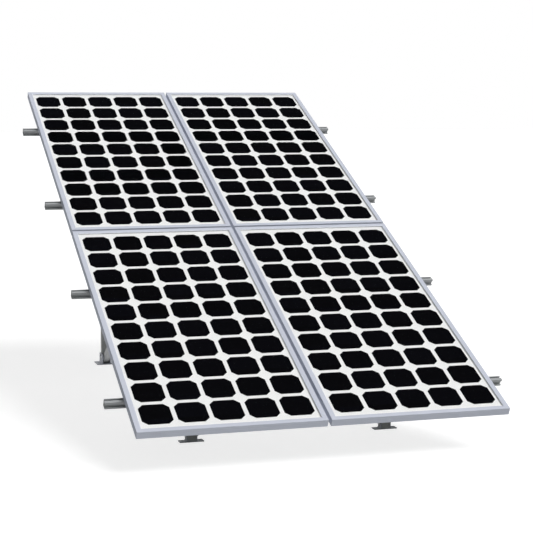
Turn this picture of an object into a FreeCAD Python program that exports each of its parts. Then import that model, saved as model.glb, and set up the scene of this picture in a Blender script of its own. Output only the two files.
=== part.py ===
import FreeCAD, Part
import math
import os
import Sketcher
from FreeCAD import Placement, Rotation, Vector

# A ground rack that holds four framed solar modules, two across and two up the slope.
# X runs along the rails, Y runs back under the high edge, Z is up, and the feet stand on Z = 0.
# Pieces on the slope are drawn flat and then leaned back by the tilt about X.

SIZES = {
    "tilt": 25,
    "array_low": 161,
    "cell_columns": 5,
    "cell_rows": 10,
    "cell_pitch": 158,
    "cell_size": 138,
    "cell_chamfer": 24,
    "cell_thick": 0.5,
    "side_margin": 28.5,
    "end_margin": 44,
    "module_gap": 15,
    "glass_thick": 3.2,
    "back_thick": 1.3,
    "glass_gap": 1,
    "frame_depth": 35,
    "frame_wall": 1.8,
    "frame_box": 13,
    "frame_lip": 22.5,
    "lip_thick": 3,
    "frame_flange": 30,
    "flange_slot": 14,
    "key_leg": 60,
    "key_clear": 0.3,
    "rail_width": 30,
    "rail_height": 35,
    "rail_wall": 2,
    "rail_overhang": 84,
    "rail_first": 275,
    "rail_spacing": 879,
    "rail_count": 4,
    "rail_slot_back": 5,
    "side_slot_rise": 16,
    "side_slot_open": 16,
    "side_slot_inner": 24,
    "side_slot_depth": 7,
    "slot_open": 9,
    "slot_inner": 16,
    "slot_lip": 2,
    "slot_depth": 8,
    "rafter_width": 40,
    "rafter_depth": 50,
    "rafter_overhang": 70,
    "rafter_spacing": 956,
    "clamp_foot": 34,
    "clamp_thick": 4,
    "clamp_width": 40,
    "clamp_hook": 5,
    "clamp_bolt": 17,
    "clamp_clear": 0.3,
    "leg_size": 40,
    "leg_wall": 3,
    "front_leg_behind": 293,
    "rear_leg_ahead": 34,
    "cap_length": 100,
    "cap_thick": 6,
    "cap_bolt_spacing": 76,
    "brace_width": 30,
    "brace_angle": 32,
    "brace_pin_ahead": 45,
    "brace_lift": 1,
    "brace_clear": 10,
    "spacer_size": 18,
    "foot_width": 115,
    "foot_thick": 5,
    "front_foot_depth": 40,
    "rear_foot_depth": 105,
    "rear_foot_reach": 37,
    "rear_ear_depth": 94,
    "ear_thick": 5,
    "ear_high": 60,
    "ear_chamfer": 6,
    "ear_clear": 0.3,
    "ear_root": 3,
    "anchor_spacing": 84,
    "anchor_hole": 11,
    "leg_bolt_low": 29,
    "leg_bolt_pitch": 21,
    "bolt_size": 8,
    "bolt_hole": 9,
    "bolt_across": 13,
    "bolt_head": 5.3,
    "nut_high": 6.5,
    "neck_size": 8,
    "neck_clear": 1,
    "hammer_long": 15,
    "hammer_thick": 5,
    "box_width": 110,
    "box_length": 90,
    "box_deep": 12,
    "box_corner": 8,
    "box_from_top": 110,
    "lid_thick": 3,
    "lid_inset": 4,
    "gland_across": 14,
    "gland_long": 14,
    "gland_spacing": 60,
    "gland_drop": 1,
}

# Dimensions that follow from the sizes above.
LAYOUT = {
    "tilt_sin": "sin(Sizes.tilt * 1 deg)",
    "tilt_cos": "cos(Sizes.tilt * 1 deg)",
    "tilt_tan": "tan(Sizes.tilt * 1 deg)",
    "octagon_tan": "tan(22.5 * 1 deg)",
    "module_width": "Sizes.cell_columns * Sizes.cell_pitch + 2 * Sizes.side_margin",
    "module_length": "Sizes.cell_rows * Sizes.cell_pitch + 2 * Sizes.end_margin",
    "array_width": "2 * Layout.module_width + Sizes.module_gap",
    "array_length": "2 * Layout.module_length + Sizes.module_gap",
    "front_edge": "(Sizes.frame_depth * Layout.tilt_sin - Layout.array_length * Layout.tilt_cos) / 2",
    "glass_edge": "Sizes.frame_box + Sizes.glass_gap",
    "cell_low": "Sizes.frame_depth - Sizes.lip_thick - Sizes.glass_thick - Sizes.cell_thick",
    "back_low": "Layout.cell_low - Sizes.back_thick",
    "flange_bolt": "(Sizes.frame_box + Sizes.frame_flange) / 2",
    "rail_length": "Layout.array_width + 2 * Sizes.rail_overhang",
    "slot_floor": "Sizes.slot_lip + Sizes.slot_depth",
    "side_slot_back": "Sizes.slot_lip + Sizes.side_slot_depth - Sizes.rail_width / 2",
    "hook_rest": "Sizes.side_slot_rise - Sizes.side_slot_open / 2",
    "last_rail": "Sizes.rail_first + (Sizes.rail_count - 1) * Sizes.rail_spacing",
    "front_leg_back": "Sizes.rail_first * Layout.tilt_cos + Sizes.front_leg_behind",
    "rear_leg_back": "Layout.last_rail * Layout.tilt_cos - Sizes.rear_leg_ahead",
    "rafter_length": "(Sizes.rail_count - 1) * Sizes.rail_spacing + 2 * Sizes.rafter_overhang",
    "neck_hole": "Sizes.neck_size + Sizes.neck_clear",
    "ear_inner": "Sizes.leg_size / 2 + Sizes.ear_clear",
    "ear_outer": "Layout.ear_inner + Sizes.ear_thick",
    "cap_under": "(Sizes.rail_height + Sizes.rafter_depth + Sizes.cap_thick) / Layout.tilt_cos",
    "front_leg_top": "Sizes.array_low + Layout.front_leg_back * Layout.tilt_tan - Layout.cap_under",
    "rear_leg_top": "Sizes.array_low + Layout.rear_leg_back * Layout.tilt_tan - Layout.cap_under",
    "brace_tan": "tan(Sizes.brace_angle * 1 deg)",
    "brace_half": "Sizes.leg_size / 2 / cos(Sizes.brace_angle * 1 deg)",
    "brace_hollow": "(Sizes.leg_size / 2 - Sizes.leg_wall) / cos(Sizes.brace_angle * 1 deg)",
    "brace_end": "Sizes.leg_size / 2 + Sizes.brace_clear",
    "brace_zero": "Sizes.foot_thick + Sizes.brace_lift + Layout.brace_half - Layout.brace_end * Layout.brace_tan",
    "brace_pin_high": "Layout.brace_zero + Sizes.brace_pin_ahead * Layout.brace_tan",
    "spacer_thick": "(Sizes.leg_size - Sizes.brace_width) / 2",
    "brace_slopes": "Layout.tilt_tan + Layout.brace_tan",
    "brace_top": "(Layout.brace_zero - Layout.rear_leg_top) / Layout.brace_slopes",
}

doc = FreeCAD.newDocument("solar_rack")
sheet = doc.addObject("Spreadsheet::Sheet", "Sizes")
for row, (alias, number) in enumerate(SIZES.items(), start=1):
    sheet.set(f"A{row}", alias)
    sheet.set(f"B{row}", str(number))
    sheet.setAlias(f"B{row}", alias)
doc.recompute()

layout = doc.addObject("App::VarSet", "Layout")
for name, formula in LAYOUT.items():
    layout.addProperty("App::PropertyFloat", name)
    layout.setExpression(name, formula)
doc.recompute()

pieces = []


def size(name):
    """A driving size, read back from the sheet."""
    return float(sheet.get(name))


def value(formula):
    """The number that a formula comes to."""
    return float(layout.evalExpression(formula))


# Sketches, pads and pockets

def new_body(name):
    body = doc.addObject("PartDesign::Body", name)
    body.Label = name
    return body


def new_sketch(body, plane):
    sketch = body.newObject("Sketcher::SketchObject", f"{body.Name}_sketch")
    origin_plane = next(item for item in body.Origin.OriginFeatures if item.Role == plane)
    sketch.AttachmentSupport = (origin_plane, [""])
    sketch.MapMode = "FlatFace"
    return sketch


def draw_outline(sketch, corners):
    """Closed straight-sided outline, each corner dimensioned from the origin by a pair of formulas."""
    first = sketch.GeometryCount
    count = len(corners)
    turn = 2 * math.pi / count
    start = [Vector(math.cos(turn * i), math.sin(turn * i), 0) for i in range(count)]
    sides = [Part.LineSegment(start[i], start[(i + 1) % count]) for i in range(count)]
    sketch.addGeometry(sides, False)
    sketch.addConstraint([
        Sketcher.Constraint("Coincident", first + i, 2, first + (i + 1) % count, 1)
        for i in range(count)
    ])
    dimension = sketch.ConstraintCount
    places = []
    for i in range(count):
        places.append(Sketcher.Constraint("DistanceX", -1, 1, first + i, 1, start[i].x))
        places.append(Sketcher.Constraint("DistanceY", -1, 1, first + i, 1, start[i].y))
    sketch.addConstraint(places)
    for across, up in corners:
        sketch.setExpression(f"Constraints[{dimension}]", across)
        sketch.setExpression(f"Constraints[{dimension + 1}]", up)
        dimension += 2


def draw_box(sketch, left, right, low, high):
    draw_outline(sketch, [(left, low), (right, low), (right, high), (left, high)])


def draw_circle(sketch, across, up, diameter):
    circle = sketch.addGeometry(Part.Circle(Vector(1, 1, 0), Vector(0, 0, 1), 1), False)
    dimension = sketch.ConstraintCount
    sketch.addConstraint([
        Sketcher.Constraint("DistanceX", -1, 1, circle, 3, 1),
        Sketcher.Constraint("DistanceY", -1, 1, circle, 3, 1),
        Sketcher.Constraint("Diameter", circle, 2),
    ])
    sketch.setExpression(f"Constraints[{dimension}]", across)
    sketch.setExpression(f"Constraints[{dimension + 1}]", up)
    sketch.setExpression(f"Constraints[{dimension + 2}]", diameter)


def draw_octagon(sketch, across, up, flats):
    """Eight-sided outline for bolt shanks and their holes, which stay hidden under the heads."""
    half = f"{flats} / 2"
    short = f"{flats} / 2 * Layout.octagon_tan"
    steps = [
        (half, f"-{short}"),
        (half, short),
        (short, half),
        (f"-{short}", half),
        (f"-{half}", short),
        (f"-{half}", f"-{short}"),
        (f"-{short}", f"-{half}"),
        (short, f"-{half}"),
    ]
    draw_outline(sketch, [(f"{across} + {step}", f"{up} + {rise}") for step, rise in steps])


def pad(body, sketch, length, centred=True):
    feature = body.newObject("PartDesign::Pad", f"{body.Name}_pad")
    feature.Profile = sketch
    feature.SideType = "Symmetric" if centred else "One side"
    feature.setExpression("Length", length)
    return feature


def cut_through(body, sketch):
    feature = body.newObject("PartDesign::Pocket", f"{body.Name}_cut")
    feature.Profile = sketch
    feature.SideType = "Symmetric"
    feature.Type = "ThroughAll"
    return feature


def cut_width(body, sketch, width):
    """Cut that reaches the same distance to both sides of its sketch."""
    feature = body.newObject("PartDesign::Pocket", f"{body.Name}_cut")
    feature.Profile = sketch
    feature.SideType = "Symmetric"
    feature.setExpression("Length", width)
    return feature


# Places

def on_slope(across, up_slope, above, turn=0):
    """Place on the slope: above is measured square to it, from the underside of the modules."""
    lean = math.radians(size("tilt"))
    back = layout.front_edge + up_slope * math.cos(lean) - above * math.sin(lean)
    high = size("array_low") + up_slope * math.sin(lean) + above * math.cos(lean)
    turned = Rotation(Vector(1, 0, 0), size("tilt")) * Rotation(Vector(0, 0, 1), turn)
    return Placement(Vector(across, back, high), turned)


def on_ground(across, behind_front):
    return Placement(Vector(across, layout.front_edge + behind_front, 0), Rotation())


def keep(body, place):
    body.Placement = place
    pieces.append(body)


def keep_group(name, pattern, places):
    """Like pieces in one node, each a solid of its own, copied from one modelled piece."""
    doc.recompute()
    copies = []
    for place in places:
        copy = pattern.Shape.copy()
        copy.Placement = place * copy.Placement
        copies.append(copy)
    group = doc.addObject("Part::Feature", name)
    group.Label = name
    group.Shape = Part.makeCompound(copies)
    pieces.append(group)


SIDES = {"left": -1, "right": 1}


def module_centres():
    """Names and centres of the four modules, across and up the slope."""
    across = (layout.module_width + size("module_gap")) / 2
    row_step = layout.module_length + size("module_gap")
    for row, row_name in enumerate(("lower", "upper")):
        for side_name, side in SIDES.items():
            yield f"{row_name}_{side_name}", side * across, layout.module_length / 2 + row * row_step


def rail_places():
    return [size("rail_first") + i * size("rail_spacing") for i in range(int(size("rail_count")))]


# Solar modules

def frame_bar(name, length, slots):
    """Mitred aluminium frame bar along X, with its outer face at Y = 0 and its underside at Z = 0."""
    body = new_body(name)
    ledge = "Layout.back_low"
    lip = "Sizes.frame_depth - Sizes.lip_thick"
    section = new_sketch(body, "YZ_Plane")
    draw_outline(section, [
        ("0", "0"),
        ("Sizes.frame_flange", "0"),
        ("Sizes.frame_flange", "Sizes.frame_wall"),
        ("Sizes.frame_box", "Sizes.frame_wall"),
        ("Sizes.frame_box", f"{ledge} - Sizes.frame_wall"),
        ("Sizes.frame_lip", f"{ledge} - Sizes.frame_wall"),
        ("Sizes.frame_lip", ledge),
        ("Sizes.frame_box", ledge),
        ("Sizes.frame_box", lip),
        ("Sizes.frame_lip", lip),
        ("Sizes.frame_lip", "Sizes.frame_depth"),
        ("0", "Sizes.frame_depth"),
    ])
    draw_box(section, "Sizes.frame_wall", "Sizes.frame_box - Sizes.frame_wall", "Sizes.frame_wall", lip)
    pad(body, section, length)

    mitres = new_sketch(body, "XY_Plane")
    for sign in ("", "-"):
        draw_outline(mitres, [
            (f"{sign}({length}) / 2", "0"),
            (f"{sign}({length}) / 2", "Sizes.frame_flange"),
            (f"{sign}(({length}) / 2 - Sizes.frame_flange)", "Sizes.frame_flange"),
        ])
    cut_through(body, mitres)

    if slots:
        openings = new_sketch(body, "XY_Plane")
        for middle in slots:
            draw_box(
                openings,
                f"{middle} - Sizes.flange_slot / 2",
                f"{middle} + Sizes.flange_slot / 2",
                "Layout.flange_bolt - Layout.neck_hole / 2",
                "Layout.flange_bolt + Layout.neck_hole / 2",
            )
        cut_width(body, openings, "4 * Sizes.frame_wall")
    return body


def flange_slot_formulas(row, side):
    """Where the two rails under a module cross one of its long bars, along that bar."""
    formulas = []
    for rail in (2 * row, 2 * row + 1):
        along = f"Sizes.rail_first + {rail} * Sizes.rail_spacing + Sizes.rail_slot_back"
        middle = f"Layout.module_length / 2 + {row} * (Layout.module_length + Sizes.module_gap)"
        formulas.append(f"{side} * ({along} - ({middle}))")
    return formulas


def module_frame(module, across, up_slope, row):
    half_width = layout.module_width / 2
    half_length = layout.module_length / 2
    bottom = frame_bar(f"{module}_frame_bottom", "Layout.module_width", [])
    keep(bottom, on_slope(across, up_slope - half_length, 0))
    top = frame_bar(f"{module}_frame_top", "Layout.module_width", [])
    keep(top, on_slope(across, up_slope + half_length, 0, 180))
    right = frame_bar(f"{module}_frame_right", "Layout.module_length", flange_slot_formulas(row, 1))
    keep(right, on_slope(across + half_width, up_slope, 0, 90))
    left = frame_bar(f"{module}_frame_left", "Layout.module_length", flange_slot_formulas(row, -1))
    keep(left, on_slope(across - half_width, up_slope, 0, -90))


def laminate_sheet(name, thickness):
    """Flat sheet whose edges sit in the frame's groove."""
    body = new_body(name)
    outline = new_sketch(body, "XY_Plane")
    half_width = "Layout.module_width / 2 - Layout.glass_edge"
    half_length = "Layout.module_length / 2 - Layout.glass_edge"
    draw_box(outline, f"-({half_width})", half_width, f"-({half_length})", half_length)
    pad(body, outline, thickness, centred=False)
    return body


def solar_cell():
    """Square wafer with its four corners cut at 45 degrees."""
    body = new_body("solar_cell")
    half = "Sizes.cell_size / 2"
    short = "(Sizes.cell_size / 2 - Sizes.cell_chamfer)"
    outline = new_sketch(body, "XY_Plane")
    draw_outline(outline, [
        (half, f"-{short}"),
        (half, short),
        (short, half),
        (f"-{short}", half),
        (f"-{half}", short),
        (f"-{half}", f"-{short}"),
        (f"-{short}", f"-{half}"),
        (short, f"-{half}"),
    ])
    pad(body, outline, "Sizes.cell_thick", centred=False)
    return body


def cell_places(across, up_slope):
    columns = int(size("cell_columns"))
    rows = int(size("cell_rows"))
    pitch = size("cell_pitch")
    return [
        on_slope(
            across + (column - (columns - 1) / 2) * pitch,
            up_slope + (row - (rows - 1) / 2) * pitch,
            layout.cell_low,
        )
        for row in range(rows)
        for column in range(columns)
    ]


def corner_key():
    """L-shaped key that joins two frame bars inside their hollow chambers."""
    body = new_body("corner_key")
    near = "(Sizes.frame_wall + Sizes.key_clear)"
    far = "(Sizes.frame_box - Sizes.frame_wall - Sizes.key_clear)"
    end = f"({near} + Sizes.key_leg)"
    outline = new_sketch(body, "XY_Plane")
    draw_outline(outline, [(near, near), (end, near), (end, far), (far, far), (far, end), (near, end)])
    chamber = "Sizes.frame_depth - Sizes.lip_thick - Sizes.frame_wall"
    pad(body, outline, f"{chamber} - Sizes.key_clear", centred=False)
    return body


def corner_key_places():
    places = []
    for _, across, up_slope in module_centres():
        for turn, x_side, y_side in ((0, -1, -1), (90, 1, -1), (180, 1, 1), (270, -1, 1)):
            x = across + x_side * layout.module_width / 2
            y = up_slope + y_side * layout.module_length / 2
            places.append(on_slope(x, y, size("frame_wall"), turn))
    return places


def cut_corner_box(body, inset, thickness):
    """Flat box with its four upright corners cut off."""
    width = f"(Sizes.box_width / 2 - {inset})"
    length = f"(Sizes.box_length / 2 - {inset})"
    outline = new_sketch(body, "XY_Plane")
    draw_outline(outline, [
        (width, f"Sizes.box_corner - {length}"),
        (width, f"{length} - Sizes.box_corner"),
        (f"{width} - Sizes.box_corner", length),
        (f"Sizes.box_corner - {width}", length),
        (f"-{width}", f"{length} - Sizes.box_corner"),
        (f"-{width}", f"Sizes.box_corner - {length}"),
        (f"Sizes.box_corner - {width}", f"-{length}"),
        (f"{width} - Sizes.box_corner", f"-{length}"),
    ])
    pad(body, outline, thickness, centred=False)


def cable_gland():
    """Six-sided gland nut, drawn along Y."""
    body = new_body("cable_gland")
    half = "Sizes.gland_across / 2"
    corner = "(Sizes.gland_across / sqrt(3))"
    outline = new_sketch(body, "XZ_Plane")
    draw_outline(outline, [
        (corner, "0"),
        (f"{corner} / 2", half),
        (f"-{corner} / 2", half),
        (f"-{corner}", "0"),
        (f"-{corner} / 2", f"-{half}"),
        (f"{corner} / 2", f"-{half}"),
    ])
    pad(body, outline, "Sizes.gland_long")
    return body


def build_modules():
    cell = solar_cell()
    lid_places = []
    gland_places = []
    for index, (module, across, up_slope) in enumerate(module_centres()):
        module_frame(module, across, up_slope, index // 2)
        backsheet = laminate_sheet(f"{module}_backsheet", "Sizes.back_thick")
        keep(backsheet, on_slope(across, up_slope, layout.back_low))
        keep_group(f"{module}_cells", cell, cell_places(across, up_slope))
        glass = laminate_sheet(f"{module}_glass", "Sizes.glass_thick")
        keep(glass, on_slope(across, up_slope, layout.cell_low + size("cell_thick")))

        box = new_body(f"{module}_junction_box")
        cut_corner_box(box, "0", "Sizes.box_deep")
        box_at = up_slope + layout.module_length / 2 - size("box_from_top")
        box_low = layout.back_low - size("box_deep")
        keep(box, on_slope(across, box_at, box_low))
        lid_places.append(on_slope(across, box_at, box_low - size("lid_thick")))
        gland_at = box_at - (size("box_length") + size("gland_long")) / 2
        gland_high = layout.back_low - size("gland_drop") - size("gland_across") / 2
        for side in SIDES.values():
            gland_across = across + side * size("gland_spacing") / 2
            gland_places.append(on_slope(gland_across, gland_at, gland_high))

    lid = new_body("junction_box_lid")
    cut_corner_box(lid, "Sizes.lid_inset", "Sizes.lid_thick")
    keep_group("junction_box_lids", lid, lid_places)
    keep_group("cable_glands", cable_gland(), gland_places)
    keep_group("corner_keys", corner_key(), corner_key_places())


# Rails and rafters

def channel_down(middle, top):
    """Corners of a T channel that opens upwards at the height top, from right to left."""
    edge = "Sizes.slot_open / 2"
    wide = "Sizes.slot_inner / 2"
    return [
        (f"{middle} + {edge}", top),
        (f"{middle} + {edge}", f"{top} - Sizes.slot_lip"),
        (f"{middle} + {wide}", f"{top} - Sizes.slot_lip"),
        (f"{middle} + {wide}", f"{top} - Layout.slot_floor"),
        (f"{middle} - {wide}", f"{top} - Layout.slot_floor"),
        (f"{middle} - {wide}", f"{top} - Sizes.slot_lip"),
        (f"{middle} - {edge}", f"{top} - Sizes.slot_lip"),
        (f"{middle} - {edge}", top),
    ]


def rail(name):
    """Extruded rail along X, with its top at Z = 0. T channels open on its top and its down-slope face."""
    body = new_body(name)
    front = "-Sizes.rail_width / 2"
    back = "Sizes.rail_width / 2"
    lip = "Sizes.slot_lip - Sizes.rail_width / 2"
    slot = "(Sizes.side_slot_rise - Sizes.rail_height)"
    edge = "Sizes.side_slot_open / 2"
    wide = "Sizes.side_slot_inner / 2"
    section = new_sketch(body, "YZ_Plane")
    draw_outline(section, [
        (front, "-Sizes.rail_height"),
        (back, "-Sizes.rail_height"),
        (back, "0"),
        *channel_down("Sizes.rail_slot_back", "0"),
        (front, "0"),
        (front, f"{slot} + {edge}"),
        (lip, f"{slot} + {edge}"),
        (lip, f"{slot} + {wide}"),
        ("Layout.side_slot_back", f"{slot} + {wide}"),
        ("Layout.side_slot_back", f"{slot} - {wide}"),
        (lip, f"{slot} - {wide}"),
        (lip, f"{slot} - {edge}"),
        (front, f"{slot} - {edge}"),
    ])
    draw_box(
        section,
        "Layout.side_slot_back + Sizes.rail_wall",
        "Sizes.rail_width / 2 - Sizes.rail_wall",
        "Sizes.rail_wall - Sizes.rail_height",
        "-Layout.slot_floor - Sizes.rail_wall",
    )
    draw_box(
        section,
        "Sizes.rail_wall - Sizes.rail_width / 2",
        "Layout.side_slot_back",
        f"{slot} + {wide} + Sizes.rail_wall",
        "-Sizes.rail_wall",
    )
    pad(body, section, "Layout.rail_length")
    return body


def rafter(name):
    """Extruded rafter along Y, with its top at Z = 0 and a T channel along its top and its underside."""
    body = new_body(name)
    left = "-Sizes.rafter_width / 2"
    right = "Sizes.rafter_width / 2"
    low = "-Sizes.rafter_depth"
    lower_channel = [(across, f"{low} - ({up})") for across, up in reversed(channel_down("0", "0"))]
    section = new_sketch(body, "XZ_Plane")
    draw_outline(section, [
        (left, low),
        *lower_channel,
        (right, low),
        (right, "0"),
        *channel_down("0", "0"),
        (left, "0"),
    ])
    wall = "Sizes.rail_wall"
    outer = f"({right} - {wall})"
    inner = f"(Sizes.slot_inner / 2 + {wall})"
    floor = f"(Layout.slot_floor + {wall})"
    draw_outline(section, [
        (f"-{outer}", f"-{wall}"),
        (f"-{inner}", f"-{wall}"),
        (f"-{inner}", f"-{floor}"),
        (inner, f"-{floor}"),
        (inner, f"-{wall}"),
        (outer, f"-{wall}"),
        (outer, f"{low} + {wall}"),
        (inner, f"{low} + {wall}"),
        (inner, f"{low} + {floor}"),
        (f"-{inner}", f"{low} + {floor}"),
        (f"-{inner}", f"{low} + {wall}"),
        (f"-{outer}", f"{low} + {wall}"),
    ])
    pad(body, section, "Layout.rafter_length")
    return body


def rail_clamp():
    """Clamp that stands on the rafter and hooks over the lower lip of the rail's side channel."""
    body = new_body("rail_clamp")
    side = new_sketch(body, "YZ_Plane")
    draw_outline(side, [
        ("-Sizes.clamp_foot", "0"),
        ("-Sizes.clamp_clear", "0"),
        ("-Sizes.clamp_clear", "Layout.hook_rest"),
        ("Sizes.clamp_hook", "Layout.hook_rest"),
        ("Sizes.clamp_hook", "Layout.hook_rest + Sizes.clamp_thick"),
        ("-Sizes.clamp_clear - Sizes.clamp_thick", "Layout.hook_rest + Sizes.clamp_thick"),
        ("-Sizes.clamp_clear - Sizes.clamp_thick", "Sizes.clamp_thick"),
        ("-Sizes.clamp_foot", "Sizes.clamp_thick"),
    ])
    pad(body, side, "Sizes.clamp_width")
    hole = new_sketch(body, "YZ_Plane")
    draw_box(
        hole,
        "-Sizes.clamp_bolt - Layout.neck_hole / 2",
        "-Sizes.clamp_bolt + Layout.neck_hole / 2",
        "0",
        "Sizes.clamp_thick",
    )
    cut_width(body, hole, "Layout.neck_hole")
    return body


def build_rails():
    rafter_top = -size("rail_height")
    for number, up_slope in enumerate(rail_places(), start=1):
        keep(rail(f"rail_{number}"), on_slope(0, up_slope, 0))
    middle = (size("rail_first") + layout.last_rail) / 2
    clamp_places = []
    for side_name, side in SIDES.items():
        across = side * size("rafter_spacing") / 2
        keep(rafter(f"rafter_{side_name}"), on_slope(across, middle, rafter_top))
        for up_slope in rail_places():
            clamp_places.append(on_slope(across, up_slope - size("rail_width") / 2, rafter_top))
    keep_group("rail_clamps", rail_clamp(), clamp_places)


# Legs and braces, drawn in side view with Y = 0 at the middle of their leg and Z = 0 on the ground

def draw_on_cap(sketch, middle, height, centre, long):
    """Side view of a stretch of cap plate, which lies against the underside of the rafter."""
    near = f"({centre} - {long} / 2)"
    far = f"({centre} + {long} / 2)"
    top = "Sizes.cap_thick"
    draw_outline(sketch, [
        (
            f"{middle} + {along} * Layout.tilt_cos - {above} * Layout.tilt_sin",
            f"{height} + {along} * Layout.tilt_sin + {above} * Layout.tilt_cos",
        )
        for along, above in ((near, "0"), (far, "0"), (far, top), (near, top))
    ])


def add_cap(body, middle, height):
    plate = new_sketch(body, "YZ_Plane")
    draw_on_cap(plate, middle, height, "0", "Sizes.cap_length")
    pad(body, plate, "Sizes.rafter_width")
    holes = new_sketch(body, "YZ_Plane")
    for side in SIDES.values():
        draw_on_cap(holes, middle, height, f"{side} * Sizes.cap_bolt_spacing / 2", "Layout.neck_hole")
    cut_width(body, holes, "Layout.neck_hole")


def drill_for_bolts(body, bolts):
    holes = new_sketch(body, "YZ_Plane")
    for along, height in bolts:
        draw_octagon(holes, along, height, "Sizes.bolt_hole")
    cut_through(body, holes)


def leg(name, top, bolts):
    """Square tube with a sloping cap plate welded to its head."""
    body = new_body(name)
    half = "Sizes.leg_size / 2"
    inner = "(Sizes.leg_size / 2 - Sizes.leg_wall)"
    tube = new_sketch(body, "YZ_Plane")
    draw_outline(tube, [
        (f"-{half}", "Sizes.foot_thick"),
        (half, "Sizes.foot_thick"),
        (half, f"{top} + {half} * Layout.tilt_tan"),
        (f"-{half}", f"{top} - {half} * Layout.tilt_tan"),
    ])
    pad(body, tube, "Sizes.leg_size")
    hollow = new_sketch(body, "YZ_Plane")
    draw_outline(hollow, [
        (f"-{inner}", "Sizes.foot_thick"),
        (inner, "Sizes.foot_thick"),
        (inner, f"{top} + {inner} * Layout.tilt_tan"),
        (f"-{inner}", f"{top} - {inner} * Layout.tilt_tan"),
    ])
    cut_width(body, hollow, "Sizes.leg_size - 2 * Sizes.leg_wall")
    drill_for_bolts(body, bolts)
    add_cap(body, "0", top)
    return body


def brace_outline(half):
    """Side view of the strut: cut upright behind its lower bolt and cut along the slope at its head."""
    foot = "(-Layout.brace_end)"
    lower = f"({{sign}} {half} + Layout.brace_zero)"
    corners = []
    for sign in ("-", "+"):
        line = lower.format(sign=sign)
        head = f"(({line} - Layout.rear_leg_top) / Layout.brace_slopes)"
        ends = [
            (foot, f"{line} - {foot} * Layout.brace_tan"),
            (head, f"{line} - {head} * Layout.brace_tan"),
        ]
        corners.extend(ends if sign == "-" else reversed(ends))
    return corners


def brace(name):
    """Box strut from the rear foot up and forward to the rafter, with a cap plate at its head."""
    body = new_body(name)
    tube = new_sketch(body, "YZ_Plane")
    draw_outline(tube, brace_outline("Layout.brace_half"))
    pad(body, tube, "Sizes.brace_width")
    hollow = new_sketch(body, "YZ_Plane")
    draw_outline(hollow, brace_outline("Layout.brace_hollow"))
    cut_width(body, hollow, "Sizes.brace_width - 2 * Sizes.leg_wall")
    drill_for_bolts(body, BRACE_BOLTS)
    add_cap(body, "Layout.brace_top", "(Layout.rear_leg_top + Layout.brace_top * Layout.tilt_tan)")
    return body


# Through bolts in side view, measured from the middle of the leg and the ground.
FRONT_LEG_BOLTS = [("0", "Sizes.leg_bolt_low")]
REAR_LEG_BOLTS = [("0", "Sizes.leg_bolt_low"), ("0", "Sizes.leg_bolt_low + Sizes.leg_bolt_pitch")]
BRACE_BOLTS = [("-Sizes.brace_pin_ahead", "Layout.brace_pin_high")]


def brace_spacer():
    """Square packing plate on the brace bolt, between the strut and an ear of the foot."""
    body = new_body("brace_spacer")
    half = "Sizes.spacer_size / 2"
    plate = new_sketch(body, "YZ_Plane")
    draw_box(plate, f"-{half}", half, f"-{half}", half)
    draw_octagon(plate, "0", "0", "Sizes.bolt_hole")
    pad(body, plate, "Layout.spacer_thick")
    return body


def foot(name, depth, behind, ear_depth, bolts):
    """Extruded foot: a flat base plate with two upright ears. Its back edge is at Y = behind."""
    body = new_body(name)
    half = "Sizes.foot_width / 2"
    floor = "Sizes.foot_thick"
    section = new_sketch(body, "YZ_Plane")
    draw_box(section, f"{behind} - {depth}", behind, "0", "Sizes.ear_high")
    pad(body, section, "Sizes.foot_width")

    gap = new_sketch(body, "XZ_Plane")
    draw_box(gap, "-Layout.ear_inner", "Layout.ear_inner", floor, "Sizes.ear_high")
    for sign in ("", "-"):
        draw_outline(gap, [
            (f"{sign}{half}", floor),
            (f"{sign}(Layout.ear_outer + Sizes.ear_root)", floor),
            (f"{sign}Layout.ear_outer", f"{floor} + Sizes.ear_root"),
            (f"{sign}Layout.ear_outer", "Sizes.ear_high"),
            (f"{sign}{half}", "Sizes.ear_high"),
        ])
    cut_through(body, gap)

    cut = "Sizes.ear_chamfer"
    ear_front = f"({behind} - {ear_depth})"
    ear_ends = new_sketch(body, "YZ_Plane")
    draw_outline(ear_ends, [
        (behind, f"Sizes.ear_high - {cut}"),
        (behind, "Sizes.ear_high"),
        (f"{behind} - {cut}", "Sizes.ear_high"),
    ])
    if depth == ear_depth:
        draw_outline(ear_ends, [
            (ear_front, f"Sizes.ear_high - {cut}"),
            (ear_front, "Sizes.ear_high"),
            (f"{ear_front} + {cut}", "Sizes.ear_high"),
        ])
    else:
        draw_outline(ear_ends, [
            (f"{behind} - {depth}", floor),
            (ear_front, floor),
            (ear_front, f"Sizes.ear_high - {cut}"),
            (f"{ear_front} + {cut}", "Sizes.ear_high"),
            (f"{behind} - {depth}", "Sizes.ear_high"),
        ])
    cut_through(body, ear_ends)

    drill_for_bolts(body, bolts)

    anchors = new_sketch(body, "XY_Plane")
    for side in SIDES.values():
        along_plate = f"{side} * Sizes.anchor_spacing / 2"
        draw_circle(anchors, along_plate, f"{behind} - {depth} / 2", "Sizes.anchor_hole")
    cut_through(body, anchors)
    return body


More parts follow.
